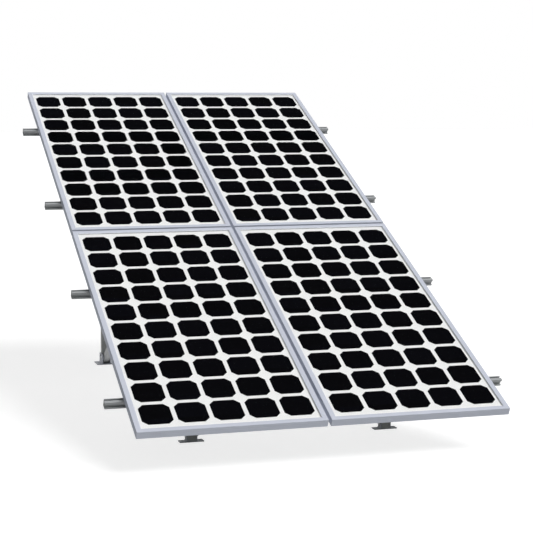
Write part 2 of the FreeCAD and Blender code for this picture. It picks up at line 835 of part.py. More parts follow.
def build_supports():
    brace_bolt = Vector(0, value(BRACE_BOLTS[0][0]), value(BRACE_BOLTS[0][1]))
    beside_brace = Vector((size("brace_width") + layout.spacer_thick) / 2, 0, 0)
    spacer_places = []
    for side_name, side in SIDES.items():
        across = side * size("rafter_spacing") / 2
        at_front = on_ground(across, layout.front_leg_back)
        at_rear = on_ground(across, layout.rear_leg_back)
        front_foot = foot(
            f"front_foot_{side_name}",
            "Sizes.front_foot_depth",
            "Sizes.front_foot_depth / 2",
            "Sizes.front_foot_depth",
            FRONT_LEG_BOLTS,
        )
        rear_foot = foot(
            f"rear_foot_{side_name}",
            "Sizes.rear_foot_depth",
            "Sizes.rear_foot_reach",
            "Sizes.rear_ear_depth",
            REAR_LEG_BOLTS + BRACE_BOLTS,
        )
        keep(front_foot, at_front)
        keep(rear_foot, at_rear)
        keep(leg(f"front_leg_{side_name}", "Layout.front_leg_top", FRONT_LEG_BOLTS), at_front)
        keep(leg(f"rear_leg_{side_name}", "Layout.rear_leg_top", REAR_LEG_BOLTS), at_rear)
        keep(brace(f"brace_{side_name}"), at_rear)
        for left_or_right in SIDES.values():
            spacer_places.append(at_rear * Placement(brace_bolt + beside_brace * left_or_right, Rotation()))
    keep_group("brace_spacers", brace_spacer(), spacer_places)


# Fasteners

def hexagon(across_flats):
    half = f"({across_flats} / 2)"
    corner = f"({across_flats} / sqrt(3))"
    return [
        (corner, "0"),
        (f"{corner} / 2", half),
        (f"-{corner} / 2", half),
        (f"-{corner}", "0"),
        (f"-{corner} / 2", f"-{half}"),
        (f"{corner} / 2", f"-{half}"),
    ]


def raised_pad(body, sketch, length, base):
    """Pad from the height base upwards."""
    sketch.setExpression("AttachmentOffset.Base.z", base)
    return pad(body, sketch, length, centred=False)


def hammer_bolt(name, clamped):
    """Hammer-head bolt with its nut. Z = 0 is where the head bears on the lips of its channel."""
    body = new_body(name)
    half_long = "Sizes.hammer_long / 2"
    half_neck = "Sizes.neck_size / 2"
    head = new_sketch(body, "XY_Plane")
    draw_box(head, f"-{half_neck}", half_neck, f"-{half_long}", half_long)
    raised_pad(body, head, "Sizes.hammer_thick", "-Sizes.hammer_thick")
    neck = new_sketch(body, "XY_Plane")
    draw_box(neck, f"-{half_neck}", half_neck, f"-{half_neck}", half_neck)
    pad(body, neck, f"Sizes.slot_lip + {clamped}", centred=False)
    nut = new_sketch(body, "XY_Plane")
    draw_outline(nut, hexagon("Sizes.bolt_across"))
    raised_pad(body, nut, "Sizes.nut_high", f"Sizes.slot_lip + {clamped}")
    return body


def foot_bolt():
    """Hexagon bolt along X through both ears, with its nut."""
    body = new_body("foot_bolt")
    head = new_sketch(body, "YZ_Plane")
    draw_outline(head, hexagon("Sizes.bolt_across"))
    raised_pad(body, head, "Sizes.bolt_head", "-Layout.ear_outer - Sizes.bolt_head")
    shank = new_sketch(body, "YZ_Plane")
    draw_octagon(shank, "0", "0", "Sizes.bolt_size")
    pad(body, shank, "2 * Layout.ear_outer")
    nut = new_sketch(body, "YZ_Plane")
    draw_outline(nut, hexagon("Sizes.bolt_across"))
    raised_pad(body, nut, "Sizes.nut_high", "Layout.ear_outer")
    return body


def frame_bolt_places():
    across_frame = layout.module_width / 2 - layout.flange_bolt
    lips = -size("slot_lip")
    places = []
    for index, (_, across, _) in enumerate(module_centres()):
        first_rail = 2 * (index // 2)
        for rail_place in rail_places()[first_rail:first_rail + 2]:
            for side in SIDES.values():
                x = across + side * across_frame
                places.append(on_slope(x, rail_place + size("rail_slot_back"), lips))
    return places


def clamp_bolt_places():
    lips = -size("rail_height") - size("slot_lip")
    ahead = size("rail_width") / 2 + size("clamp_bolt")
    return [
        on_slope(side * size("rafter_spacing") / 2, rail_place - ahead, lips, 90)
        for side in SIDES.values()
        for rail_place in rail_places()
    ]


def cap_bolt_places():
    """Cap bolts hang from the rafter's lower channel, so they are turned over."""
    lips = size("slot_lip") - size("rail_height") - size("rafter_depth")
    under_plate = lips - size("slot_lip") - size("cap_thick")
    leg_tops = (layout.front_leg_back, layout.rear_leg_back, layout.rear_leg_back + layout.brace_top)
    places = []
    for side in SIDES.values():
        across = side * size("rafter_spacing") / 2
        for behind_front in leg_tops:
            middle = (behind_front + under_plate * layout.tilt_sin) / layout.tilt_cos
            for end in SIDES.values():
                up_slope = middle + end * size("cap_bolt_spacing") / 2
                upside_down = Placement(Vector(), Rotation(Vector(1, 0, 0), 180))
                places.append(on_slope(across, up_slope, lips, 90) * upside_down)
    return places


def foot_bolt_places():
    """Through bolts of the feet, with their heads on the outside of the rack."""
    places = []
    for side in SIDES.values():
        across = side * size("rafter_spacing") / 2
        heads_outward = Rotation(Vector(0, 0, 1), 0 if side < 0 else 180)
        for behind_front, bolts in (
            (layout.front_leg_back, FRONT_LEG_BOLTS),
            (layout.rear_leg_back, REAR_LEG_BOLTS + BRACE_BOLTS),
        ):
            for along, height in bolts:
                bolt = Placement(Vector(0, value(along), value(height)), heads_outward)
                places.append(on_ground(across, behind_front) * bolt)
    return places


def build_fasteners():
    keep_group("frame_bolts", hammer_bolt("frame_bolt", "Sizes.frame_wall"), frame_bolt_places())
    keep_group("clamp_bolts", hammer_bolt("clamp_bolt", "Sizes.clamp_thick"), clamp_bolt_places())
    keep_group("cap_bolts", hammer_bolt("cap_bolt", "Sizes.cap_thick"), cap_bolt_places())
    keep_group("foot_bolts", foot_bolt(), foot_bolt_places())


def check_and_export():
    doc.recompute()
    for item in doc.Objects:
        if "Invalid" in item.State or "Error" in item.State:
            raise RuntimeError(f"{item.Label} did not rebuild: {item.State}")
    for piece in pieces:
        if piece.Shape.isNull() or not piece.Shape.isValid():
            raise RuntimeError(f"{piece.Label} has no valid shape")
    os.makedirs("parts", exist_ok=True)
    for piece in pieces:
        piece.Shape.exportStep(f"parts/{piece.Label}.step")
    print(len(pieces), "nodes")


build_modules()
build_rails()
build_supports()
build_fasteners()
check_and_export()
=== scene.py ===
import math

import bmesh
import bpy
from bpy.props import FloatProperty, FloatVectorProperty, IntProperty, PointerProperty
from mathutils import Matrix, Vector


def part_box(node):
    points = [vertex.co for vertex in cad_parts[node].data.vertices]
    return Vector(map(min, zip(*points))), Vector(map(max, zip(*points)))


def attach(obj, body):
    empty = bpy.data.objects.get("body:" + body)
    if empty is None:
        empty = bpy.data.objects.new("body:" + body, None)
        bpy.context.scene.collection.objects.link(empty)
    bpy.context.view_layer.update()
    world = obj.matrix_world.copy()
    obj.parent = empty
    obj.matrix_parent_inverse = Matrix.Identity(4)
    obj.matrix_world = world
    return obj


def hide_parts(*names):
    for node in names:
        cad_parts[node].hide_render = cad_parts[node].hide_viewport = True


bl_info = {
    "name": "Solar Rack Dressing",
    "version": (1, 0, 0),
    "blender": (4, 5, 0),
    "location": "View3D > Sidebar > Solar Rack",
    "description": "Rounded edges, welds, bolts and finishes for a ground rack of solar modules",
    "category": "Object",
}

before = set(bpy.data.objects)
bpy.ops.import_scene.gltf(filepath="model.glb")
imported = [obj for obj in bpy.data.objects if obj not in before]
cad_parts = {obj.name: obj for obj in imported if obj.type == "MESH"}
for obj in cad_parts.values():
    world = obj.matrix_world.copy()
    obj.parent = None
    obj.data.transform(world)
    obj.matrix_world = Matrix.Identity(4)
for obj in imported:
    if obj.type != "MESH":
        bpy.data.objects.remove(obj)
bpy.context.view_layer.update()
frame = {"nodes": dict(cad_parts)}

MM = 0.001
TILT = math.radians(25)
MODULES = ("lower_left", "lower_right", "upper_left", "upper_right")
SIDES = ("left", "right")

# Measures of the source that the dressing has to follow
FRAME_DEPTH = 35 * MM
LIP_OVER_GLASS = 8.5 * MM
CELL_PITCH = 158 * MM
CAP_PLATE = 6 * MM
TUBE_DEEP = 40 * MM
BRACE_WIDE = 30 * MM
BRACE_LEAN = math.radians(32)

# M8 fasteners
BOLT_ACROSS = 8 * MM
FLATS = 13 * MM
NUT_HIGH = 6.5 * MM
WASHER_BORE = 8.4 * MM
WASHER_THICK = 1.2 * MM
THREAD_SHOWN = 4 * MM

# The slope's origin is the underside of the lowest frame bar at its front corner.
low_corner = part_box("lower_left_frame_bottom")[0]
SLOPE = (
    Matrix.Translation((0, low_corner[1] + FRAME_DEPTH * math.sin(TILT), low_corner[2]))
    @ Matrix.Rotation(TILT, 4, "X")
)


class RackSizes(bpy.types.PropertyGroup):
    """Sizes that a user would change."""

    frame_edge: FloatProperty(
        name="Frame edge", description="Rounding of the module frames' edges",
        default=0.5 * MM, min=0, unit="LENGTH",
    )
    extrusion_edge: FloatProperty(
        name="Extrusion edge", description="Rounding of the rails', rafters' and clamps' edges",
        default=0.4 * MM, min=0, unit="LENGTH",
    )
    tube_edge: FloatProperty(
        name="Tube edge", description="Rounding of the legs' and braces' edges, under half their wall",
        default=1.4 * MM, min=0, max=1.4 * MM, unit="LENGTH",
    )
    box_edge: FloatProperty(
        name="Box edge", description="Rounding of the moulded junction boxes",
        default=1.5 * MM, min=0, unit="LENGTH",
    )
    seal_width: FloatProperty(
        name="Seal width", description="Width of the sealant fillet along the glass",
        default=2.4 * MM, min=0, unit="LENGTH",
    )
    seal_height: FloatProperty(
        name="Seal height", description="Height of the sealant fillet against the frame's lip",
        default=2.6 * MM, min=0, unit="LENGTH",
    )
    weld_radius: FloatProperty(
        name="Weld radius", description="Half the width of a weld bead",
        default=2.6 * MM, min=0, unit="LENGTH",
    )
    weld_ripple: FloatProperty(
        name="Weld ripple", description="Spacing of the ripples along a weld bead",
        default=3.0 * MM, min=1 * MM, unit="LENGTH",
    )
    thread_turns: IntProperty(
        name="Thread turns", description="Turns of thread that show beyond each nut",
        default=4, min=1,
    )
    lens: FloatProperty(
        name="Lens", description="Focal length of the camera, in millimetres",
        default=96.5, min=1, subtype="DISTANCE_CAMERA",
    )


class RackColours(bpy.types.PropertyGroup):
    """Colours of the finishes."""

    frame: FloatVectorProperty(
        name="Module frame", description="Clear anodised aluminium",
        default=(0.56, 0.585, 0.67), min=0, max=1, subtype="COLOR",
    )
    extrusion: FloatVectorProperty(
        name="Extrusion", description="Mill finish aluminium of the rails and rafters",
        default=(0.36, 0.37, 0.38), min=0, max=1, subtype="COLOR",
    )
    # The front legs' colour is the rear legs' colour at 0.7: painted shade of the modules above them.
    front_leg: FloatVectorProperty(
        name="Front legs", description="Galvanised tube, darkened by painted_shade under the drip edge",
        default=(0.1995, 0.2065, 0.2065), min=0, max=1, subtype="COLOR",
    )
    # Plain galvanised tube; the front legs above are this colour with painted shade.
    rear_leg: FloatVectorProperty(
        name="Rear legs", description="Galvanised tube of the sheltered legs and the weld beads",
        default=(0.285, 0.295, 0.295), min=0, max=1, subtype="COLOR",
    )
    brace: FloatVectorProperty(
        name="Braces", description="Galvanised tube of the braces",
        default=(0.415, 0.425, 0.43), min=0, max=1, subtype="COLOR",
    )
    # The front feet are about half as light as the rear feet: painted shade of the modules above them.
    front_foot: FloatVectorProperty(
        name="Front feet", description="Galvanised plate, darkened by painted_shade under the drip edge",
        default=(0.20, 0.215, 0.235), min=0, max=1, subtype="COLOR",
    )
    # Plain galvanised plate; the front feet above are this colour with painted shade.
    rear_foot: FloatVectorProperty(
        name="Rear feet", description="Galvanised plate of the sheltered feet",
        default=(0.42, 0.44, 0.49), min=0, max=1, subtype="COLOR",
    )
    zinc: FloatVectorProperty(
        name="Fasteners", description="Bright zinc of the bolts, nuts and washers",
        default=(0.55, 0.56, 0.57), min=0, max=1, subtype="COLOR",
    )
    silicon: FloatVectorProperty(
        name="Cells", description="Coated silicon of the solar cells",
        default=(0.0030, 0.0029, 0.0036), min=0, max=1, subtype="COLOR",
    )
    film: FloatVectorProperty(
        name="Back sheet", description="White film behind the cells",
        default=(0.86, 0.86, 0.86), min=0, max=1, subtype="COLOR",
    )
    moulding: FloatVectorProperty(
        name="Mouldings", description="Black plastic of the junction boxes and glands",
        default=(0.018, 0.018, 0.02), min=0, max=1, subtype="COLOR",
    )
    sealant: FloatVectorProperty(
        name="Sealant", description="Grey silicone between frame and glass",
        default=(0.77, 0.79, 0.87), min=0, max=1, subtype="COLOR",
    )
    floor: FloatVectorProperty(
        name="Floor", description="Pale studio floor",
        default=(0.50, 0.50, 0.50), min=0, max=1, subtype="COLOR",
    )


# Finishes

class Finish:
    """A material with its surface shader and the object's own coordinates, ready for texture nodes."""

    def __init__(self, name, roughness, metallic=0.0, specular=0.5):
        self.material = bpy.data.materials.new(name)
        self.material.use_nodes = True
        self.nodes = self.material.node_tree.nodes
        self.links = self.material.node_tree.links
        self.shader = self.nodes["Principled BSDF"]
        self.shader.inputs["Roughness"].default_value = roughness
        self.shader.inputs["Metallic"].default_value = metallic
        self.shader.inputs["Specular IOR Level"].default_value = specular
        self.coordinates = self.nodes.new("ShaderNodeTexCoord").outputs["Object"]

    def mapped(self, scale, turn=0.0):
        """Object coordinates turned about X into the slope and stretched by scale."""
        turned = self.nodes.new("ShaderNodeMapping")
        turned.inputs["Rotation"].default_value = (-turn, 0, 0)
        self.links.new(self.coordinates, turned.inputs["Vector"])
        stretched = self.nodes.new("ShaderNodeMapping")
        stretched.inputs["Scale"].default_value = scale
        self.links.new(turned.outputs["Vector"], stretched.inputs["Vector"])
        return stretched.outputs["Vector"]

    def noise(self, vector, scale, detail=3.0):
        texture = self.nodes.new("ShaderNodeTexNoise")
        texture.inputs["Scale"].default_value = scale
        texture.inputs["Detail"].default_value = detail
        self.links.new(vector, texture.inputs["Vector"])
        return texture.outputs["Fac"]

    def cells(self, vector, scale):
        texture = self.nodes.new("ShaderNodeTexVoronoi")
        texture.inputs["Scale"].default_value = scale
        self.links.new(vector, texture.inputs["Vector"])
        return texture.outputs["Color"]

    def spread(self, value, low, high):
        """Numbers from low to high across the middle of a texture's range."""
        ranged = self.nodes.new("ShaderNodeMapRange")
        ranged.inputs["From Min"].default_value = 0.3
        ranged.inputs["From Max"].default_value = 0.7
        ranged.inputs["To Min"].default_value = low
        ranged.inputs["To Max"].default_value = high
        self.links.new(value, ranged.inputs["Value"])
        return ranged.outputs["Result"]

    def blend(self, factor, first, second):
        """Colour that runs from first to second with the factor; each is a colour or a socket."""
        mix = self.nodes.new("ShaderNodeMix")
        mix.data_type = "RGBA"
        self.links.new(factor, mix.inputs["Factor"])
        for socket, colour in ((mix.inputs[6], first), (mix.inputs[7], second)):
            if isinstance(colour, bpy.types.NodeSocket):
                self.links.new(colour, socket)
            else:
                socket.default_value = (*colour, 1)
        return mix.outputs[2]

    def toned(self, value, colour, darkest, lightest):
        """The colour, darker or lighter by a texture between the two shares."""
        return self.blend(self.spread(value, 0, 1), shaded(colour, darkest), shaded(colour, lightest))

    def use_colour(self, colour):
        self.links.new(colour, self.shader.inputs["Base Color"])

    def use_roughness(self, value):
        self.links.new(value, self.shader.inputs["Roughness"])

    def use_relief(self, height, strength, distance=0.0002):
        bump = self.nodes.new("ShaderNodeBump")
        bump.inputs["Strength"].default_value = strength
        bump.inputs["Distance"].default_value = distance
        self.links.new(height, bump.inputs["Height"])
        self.links.new(bump.outputs["Normal"], self.shader.inputs["Normal"])


def shaded(colour, share):
    return tuple(part * share for part in colour)


def extruded_metal(name, colour, along, metallic, roughness, specular=0.03):
    """Aluminium with the fine draw lines that a die leaves along a bar, and faint handling stains."""
    finish = Finish(name, roughness, metallic, specular)
    lines = {"x": (2, 900, 900), "slope": (900, 2, 900)}[along]
    drawn = finish.noise(finish.mapped(lines, TILT), 1.0, 2.0)
    stains = finish.noise(finish.mapped((3, 3, 3)), 2.0, 5.0)
    lined = finish.toned(drawn, colour, 0.94, 1.05)
    finish.use_colour(finish.blend(finish.spread(stains, 0, 0.35), lined, shaded(colour, 0.88)))
    finish.use_roughness(finish.spread(stains, roughness - 0.05, roughness + 0.07))
    finish.use_relief(drawn, 0.12)
    return finish.material


def galvanised(name, colour, roughness=0.5):
    """Hot-dip zinc: crystal patches of slightly different grey under a dull film."""
    finish = Finish(name, roughness, 0.2, 0.15)
    crystals = finish.cells(finish.mapped((1, 1, 1)), 130.0)
    patches = finish.noise(finish.mapped((1, 1, 1)), 9.0, 5.0)
    spangled = finish.blend(crystals, shaded(colour, 0.90), shaded(colour, 1.10))
    finish.use_colour(finish.blend(finish.spread(patches, 0, 0.5), spangled, shaded(colour, 0.80)))
    finish.use_roughness(finish.spread(patches, roughness - 0.08, roughness + 0.10))
    finish.use_relief(patches, 0.15, 0.0004)
    return finish.material


def bright_zinc(name, colour):
    """Plated fasteners with fine tumbling marks."""
    finish = Finish(name, 0.36, 0.8)
    marks = finish.noise(finish.mapped((1, 1, 1)), 420.0, 4.0)
    finish.use_colour(finish.toned(marks, colour, 0.86, 1.06))
    finish.use_roughness(finish.spread(marks, 0.30, 0.45))
    finish.use_relief(marks, 0.10)
    return finish.material


def weld_metal(name, colour):
    """Galvanised weld bead, a little darker and rougher than the tube."""
    finish = Finish(name, 0.6, 0.3)
    pits = finish.noise(finish.mapped((1, 1, 1)), 260.0, 6.0)
    finish.use_colour(finish.toned(pits, colour, 0.7, 1.0))
    finish.use_relief(pits, 0.35, 0.0004)
    return finish.material


def coated_silicon(name, colour, pitch, corner):
    """Near-black wafers: each a shade apart, with a faint blue cast and a very fine grain."""
    finish = Finish(name, 0.45, 0.0, 0.0)
    centred = finish.nodes.new("ShaderNodeMapping")
    centred.inputs["Location"].default_value = (-corner[0], -corner[1], 0)
    finish.links.new(finish.mapped((1, 1, 0), TILT), centred.inputs["Vector"])
    stepped = finish.nodes.new("ShaderNodeVectorMath")
    stepped.operation = "SNAP"
    stepped.inputs[1].default_value = (pitch, pitch, 1)
    finish.links.new(centred.outputs["Vector"], stepped.inputs[0])
    shade = finish.nodes.new("ShaderNodeTexWhiteNoise")
    shade.noise_dimensions = "2D"
    finish.links.new(stepped.outputs["Vector"], shade.inputs["Vector"])
    grain = finish.noise(finish.mapped((1, 1, 1)), 1500.0, 2.0)
    bluer = (colour[0], colour[1] * 1.05, colour[2] * 1.3)
    each_cell = finish.blend(shade.outputs["Value"], shaded(colour, 0.8), bluer)
    finish.use_colour(finish.blend(finish.spread(grain, 0, 0.3), each_cell, shaded(colour, 1.6)))
    finish.use_roughness(finish.spread(grain, 0.42, 0.50))
    return finish.material


def white_film(name, colour):
    """Laminated back sheet with a light mottle, which also gives it a soft relief."""
    finish = Finish(name, 0.55, 0.0, 0.3)
    mottle = finish.noise(finish.mapped((1, 1, 1)), 60.0, 6.0)
    finish.use_colour(finish.toned(mottle, colour, 0.98, 1.01))
    finish.use_roughness(finish.spread(mottle, 0.48, 0.62))
    finish.use_relief(mottle, 0.03, 0.0004)
    return finish.material


def solar_glass(name):
    """Low-iron glass whose anti-glare coat leaves hardly any shine; the light goes through to the cells."""
    finish = Finish(name, 0.12, 0.0, 0.0)
    finish.shader.inputs["Alpha"].default_value = 0.01
    waves = finish.noise(finish.mapped((1, 1, 1)), 14.0, 2.0)
    finish.use_colour(finish.blend(waves, (0.02, 0.03, 0.03), (0.03, 0.04, 0.04)))
    finish.use_roughness(finish.spread(waves, 0.08, 0.14))
    return finish.material


def moulded(name, colour):
    """Black plastic with a fine spark-eroded grain."""
    finish = Finish(name, 0.5, 0.0, 0.4)
    grain = finish.noise(finish.mapped((1, 1, 1)), 1800.0, 2.0)
    finish.use_colour(finish.toned(grain, colour, 0.8, 1.3))
    finish.use_roughness(finish.spread(grain, 0.42, 0.58))
    finish.use_relief(grain, 0.2, 0.0001)
    return finish.material


def silicone(name, colour):
    """Tooled sealant with faint smears."""
    finish = Finish(name, 0.4, 0.0, 0.4)
    smears = finish.noise(finish.mapped((1, 1, 1)), 120.0, 3.0)
    finish.use_colour(finish.toned(smears, colour, 0.85, 1.1))
    finish.use_relief(smears, 0.2, 0.0002)
    return finish.material


# Shapes

def merged_copy(node):
    """The node's mesh with its loose triangles joined and its flat faces made whole."""
    shape = bmesh.new()
    shape.from_mesh(frame["nodes"][node].data)
    bmesh.ops.remove_doubles(shape, verts=shape.verts, dist=1e-6)
    bmesh.ops.dissolve_limit(
        shape, angle_limit=math.radians(1), verts=shape.verts, edges=shape.edges, delimit={"NORMAL"},
    )
    return shape


def bevel(shape, edges, width):
    """Rounds the edges in two steps. Clamping stays off: it flattens a whole bar for one thin face."""
    bmesh.ops.bevel(
        shape, geom=edges, offset=width, offset_type="OFFSET", segments=2, profile=0.5,
        affect="EDGES", material=-1, clamp_overlap=False,
    )


def round_edges(shape, radius, sharper_than=30):
    """Rounds every edge that turns more sharply than the given angle in degrees."""
    limit = math.radians(sharper_than)
    sharp = [edge for edge in shape.edges if edge.is_manifold and edge.calc_face_angle(0) > limit]
    bevel(shape, sharp, radius)


def finished(name, shape, material, replaced=()):
    """Turns a finished shape into a piece of the rack."""
    mesh = bpy.data.meshes.new(name)
    shape.to_mesh(mesh)
    shape.free()
    mesh.materials.append(material)
    piece = bpy.data.objects.new(name, mesh)
    bpy.context.scene.collection.objects.link(piece)
    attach(piece, "root")
    if replaced:
        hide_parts(*replaced)
    return piece


def rounded_node(node, radius, material, name):
    """A node's shape with rounded edges, in the node's place."""
    shape = merged_copy(node)
    round_edges(shape, radius)
    return finished(name, shape, material, [node])


def coat(node, material):
    """Gives a node's own mesh its finish."""
    for holder in frame["nodes"][node].material_slots:
        holder.material = material


def linked_verts(start):
    """Every vertex that is joined to the given ones by edges."""
    found = dict.fromkeys(start)
    todo = list(start)
    while todo:
        for edge in todo.pop().link_edges:
            for vert in edge.verts:
                if vert not in found:
                    found[vert] = None
                    todo.append(vert)
    return list(found)


def separate_solids(node):
    """Corner lists of each solid in a node, measured along, up and above the slope."""
    shape = merged_copy(node)
    to_slope = SLOPE.inverted()
    solids = []
    done = set()
    for vert in shape.verts:
        if vert not in done:
            corners = linked_verts([vert])
            done.update(corners)
            solids.append([to_slope @ corner.co for corner in corners])
    shape.free()
    return solids


def span(points, axis):
    values = [point[axis] for point in points]
    return min(values), max(values)


def add_block(shape, size, place):
    """Box of the given size, centred on its place."""
    made = bmesh.ops.create_cube(shape, size=1, matrix=place @ Matrix.Diagonal((*size, 1)))
    return made["verts"]


def add_hexagon(shape, flats, height, place, crown):
    """Nut or bolt head along Z with its corners turned down at both ends."""
    radius = flats / math.sqrt(3)
    made = bmesh.ops.create_cone(
        shape, cap_ends=True, segments=6, radius1=radius, radius2=radius, depth=height,
        matrix=place @ Matrix.Translation((0, 0, height / 2)),
    )
    verts = set(made["verts"])
    rims = [
        edge for edge in shape.edges
        if edge.verts[0] in verts and edge.verts[1] in verts
        and any(len(face.verts) == 6 for face in edge.link_faces)
    ]
    bevel(shape, rims, crown)


def add_lathe(shape, corners, closed, steps, place):
    """A section spun about Z. A closed one comes back to its first corner, an open one ends on the axis."""
    verts = [shape.verts.new((across, 0, up)) for across, up in corners]
    ends = verts[1:] + verts[:1] if closed else verts[1:]
    edges = [shape.edges.new(pair) for pair in zip(verts, ends)]
    spun = bmesh.ops.spin(
        shape, geom=verts + edges, cent=(0, 0, 0), axis=(0, 0, 1), dvec=(0, 0, 0),
        angle=2 * math.pi, steps=steps, use_merge=True,
    )
    last = [item for item in spun["geom_last"] if isinstance(item, bmesh.types.BMVert)]
    lathe = linked_verts([vert for vert in verts if vert.is_valid] + last)
    bmesh.ops.remove_doubles(shape, verts=lathe, dist=1e-6)
    lathe = linked_verts([vert for vert in lathe if vert.is_valid])
    faces = list({face for vert in lathe for face in vert.link_faces})
    bmesh.ops.recalc_face_normals(shape, faces=faces)
    bmesh.ops.transform(shape, matrix=place, verts=lathe)


def add_washer(shape, outer, place):
    """Flat M8 washer along Z."""
    inside, outside = WASHER_BORE / 2, outer / 2
    corners = [(inside, 0), (outside, 0), (outside, WASHER_THICK), (inside, WASHER_THICK)]
    add_lathe(shape, corners, True, 24, place)


def add_thread(shape, diameter, length, turns, place):
    """Threaded shank end along Z from a toothed section, closed by a chamfered tip."""
    root = diameter * 0.42
    crest = diameter / 2
    step = length / (turns + 0.5)
    corners = [(0, 0), (root, 0)]
    for turn in range(turns):
        for across, share in ((root, 0.15), (crest, 0.45), (crest, 0.55), (root, 0.85)):
            corners.append((across, (turn + share) * step))
    corners += [(root, length - step * 0.3), (root * 0.8, length), (0, length)]
    add_lathe(shape, corners, False, 16, place)


def add_nut(shape, washer, height, crown, place):
    """Washer and nut, or washer and bolt head, along Z from the face they are tightened on."""
    add_washer(shape, washer, place)
    on_washer = place @ Matrix.Translation((0, 0, WASHER_THICK))
    add_hexagon(shape, FLATS, height - WASHER_THICK, on_washer, crown)


def add_weld(shape, start, end, radius, ripple):
    """Rippled bead from start to end: one ring drawn along the joint and pinched at every ripple."""
    tip, pinch = 0.7, 0.86
    along = end - start
    count = max(2, round(along.length / ripple) * 2)
    step = along / count
    turn = along.to_track_quat("Z", "X").to_matrix().to_4x4()
    ring = bmesh.ops.create_circle(
        shape, cap_ends=True, segments=8, radius=radius * tip, matrix=Matrix.Translation(start) @ turn,
    )["verts"]
    first_cap = [face for face in ring[0].link_faces]
    edges = list({edge for vert in ring for edge in vert.link_edges})
    centre = start
    every = set(ring)
    for index in range(count):
        grown = bmesh.ops.extrude_edge_only(shape, edges=edges)["geom"]
        ring = [item for item in grown if isinstance(item, bmesh.types.BMVert)]
        edges = [item for item in grown if isinstance(item, bmesh.types.BMEdge)
                 and item.verts[0] in ring and item.verts[1] in ring]
        bmesh.ops.translate(shape, verts=ring, vec=step)
        centre = centre + step
        wanted = radius * (tip if index == count - 1 else 1.0 if index % 2 == 0 else pinch)
        now = (ring[0].co - centre).length
        bmesh.ops.scale(
            shape, verts=ring, vec=(wanted / now,) * 3, space=Matrix.Translation(-centre),
        )
        every.update(ring)
    bmesh.ops.contextual_create(shape, geom=edges)
    faces = set(first_cap) | {face for vert in every for face in vert.link_faces}
    bmesh.ops.recalc_face_normals(shape, faces=list(faces))


def sizes():
    return bpy.context.scene.rack_sizes


def colours():
    return bpy.context.scene.rack_colours


# Pieces

class RACK_OT_module_frames(bpy.types.Operator):
    """Rounds the edges of the module frames and gives them an anodised finish"""

    bl_idname = "rack.module_frames"
    bl_label = "Module frames"

    def execute(self, context):
        colour = tuple(colours().frame)
        finishes = {
            "across": extruded_metal("anodised_across", colour, "x", 0.12, 0.42, 0.0),
            "up": extruded_metal("anodised_up", colour, "slope", 0.12, 0.42, 0.0),
        }
        edge = sizes().frame_edge
        for module in MODULES:
            for bar, run in (("top", "across"), ("bottom", "across"), ("left", "up"), ("right", "up")):
                name = f"{module}_bar_{bar}"
                rounded_node(f"{module}_frame_{bar}", edge, finishes[run], name)
        coat("corner_keys", extruded_metal("key_metal", colour, "x", 0.6, 0.4))
        return {"FINISHED"}


class RACK_OT_laminates(bpy.types.Operator):
    """Finishes the glass, cells and back sheets, and lays a sealant fillet along each glass"""

    bl_idname = "rack.laminates"
    bl_label = "Glass, cells and back sheets"

    def execute(self, context):
        glass = solar_glass("solar_glass")
        film = white_film("white_film", tuple(colours().film))
        seal = silicone("sealant", tuple(colours().sealant))
        to_slope = SLOPE.inverted()
        for module in MODULES:
            cells = frame["nodes"][f"{module}_cells"].data
            points = [to_slope @ vert.co for vert in cells.vertices]
            corner = (span(points, 0)[0], span(points, 1)[0])
            silicon = coated_silicon(f"{module}_silicon", tuple(colours().silicon), CELL_PITCH, corner)
            coat(f"{module}_cells", silicon)
            coat(f"{module}_glass", glass)
            coat(f"{module}_backsheet", film)
            self.lay_seal(module, seal)
        return {"FINISHED"}

    def lay_seal(self, module, material):
        """A fillet on the glass that slopes down from the inner edges of the frame's lips."""
        thin_edge = 0.3 * MM
        to_slope = SLOPE.inverted()
        glass = [to_slope @ vert.co for vert in frame["nodes"][f"{module}_glass"].data.vertices]
        left, right = span(glass, 0)
        low, high = span(glass, 1)
        top = span(glass, 2)[1]
        width = right - left - 2 * LIP_OVER_GLASS
        length = high - low - 2 * LIP_OVER_GLASS
        centre = (left + right) / 2
        middle = Matrix.Translation((centre, (low + high) / 2, top))
        shape = bmesh.new()
        plane = bmesh.ops.create_grid(
            shape, x_segments=1, y_segments=1, size=0.5,
            matrix=middle @ Matrix.Diagonal((width, length, 1, 1)),
        )
        inside = list({face for vert in plane["verts"] for face in vert.link_faces})
        bmesh.ops.inset_region(
            shape, faces=inside, thickness=sizes().seal_width, use_even_offset=True, use_boundary=True,
        )
        bmesh.ops.delete(shape, geom=inside, context="FACES")
        ring = bmesh.ops.extrude_face_region(shape, geom=shape.faces[:])
        raised = [item for item in ring["geom"] if isinstance(item, bmesh.types.BMVert)]
        bmesh.ops.translate(shape, verts=raised, vec=(0, 0, thin_edge))
        against_lip = [vert for vert in raised if abs(vert.co.x - centre) > width / 2 - 0.1 * MM]
        bmesh.ops.translate(shape, verts=against_lip, vec=(0, 0, sizes().seal_height - thin_edge))
        bmesh.ops.recalc_face_normals(shape, faces=shape.faces[:])
        bmesh.ops.transform(shape, matrix=SLOPE, verts=shape.verts[:])
        finished(f"{module}_seal", shape, material)


